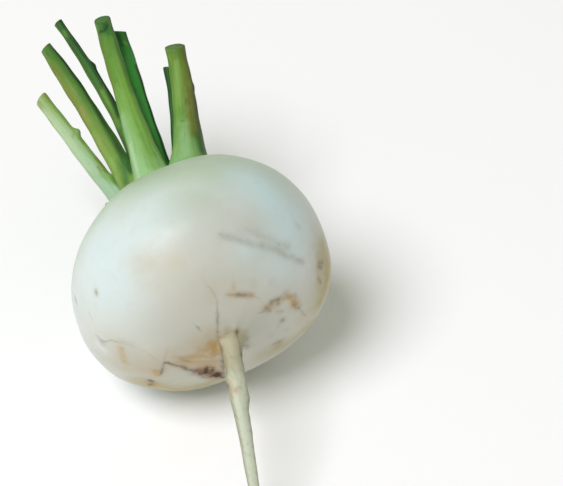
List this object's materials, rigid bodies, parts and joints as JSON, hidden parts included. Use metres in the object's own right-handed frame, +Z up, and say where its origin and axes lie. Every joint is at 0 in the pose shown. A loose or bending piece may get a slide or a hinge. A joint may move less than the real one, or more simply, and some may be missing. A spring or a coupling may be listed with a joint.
{
  "type": "turnip",
  "caption": "Round white turnip lying on its side, with a long thin taproot and its leaves cut back to green stalks.",
  "frame": {"origin": "centre of the small flat spot that the turnip lies on", "axes": "+Y towards the crown and its leaf stalks, -Y towards the taproot, +Z up, +X to the right seen from the taproot end"},
  "size_m": [0.0853, 0.2013, 0.0837],
  "materials": {
    "turnip_skin": "smooth satin skin, white with a green tint at the crown, a few thin brown scratches and spots, creamier on the taproot",
    "leaf_stalk": "smooth waxy stalk, mid green, paler at the foot, with fine ribs along it and a moist cut end"
  },
  "bodies": {
    "root": {"turnip_root": "turnip_skin", "leaf_stalk_1": "leaf_stalk", "leaf_stalk_2": "leaf_stalk", "leaf_stalk_3": "leaf_stalk", "leaf_stalk_4": "leaf_stalk", "leaf_stalk_5": "leaf_stalk", "leaf_stalk_6": "leaf_stalk", "leaf_stalk_7": "leaf_stalk", "leaf_stalk_8": "leaf_stalk", "leaf_stalk_9": "leaf_stalk", "leaf_stalk_10": "leaf_stalk"}
  },
  "joints": []
}
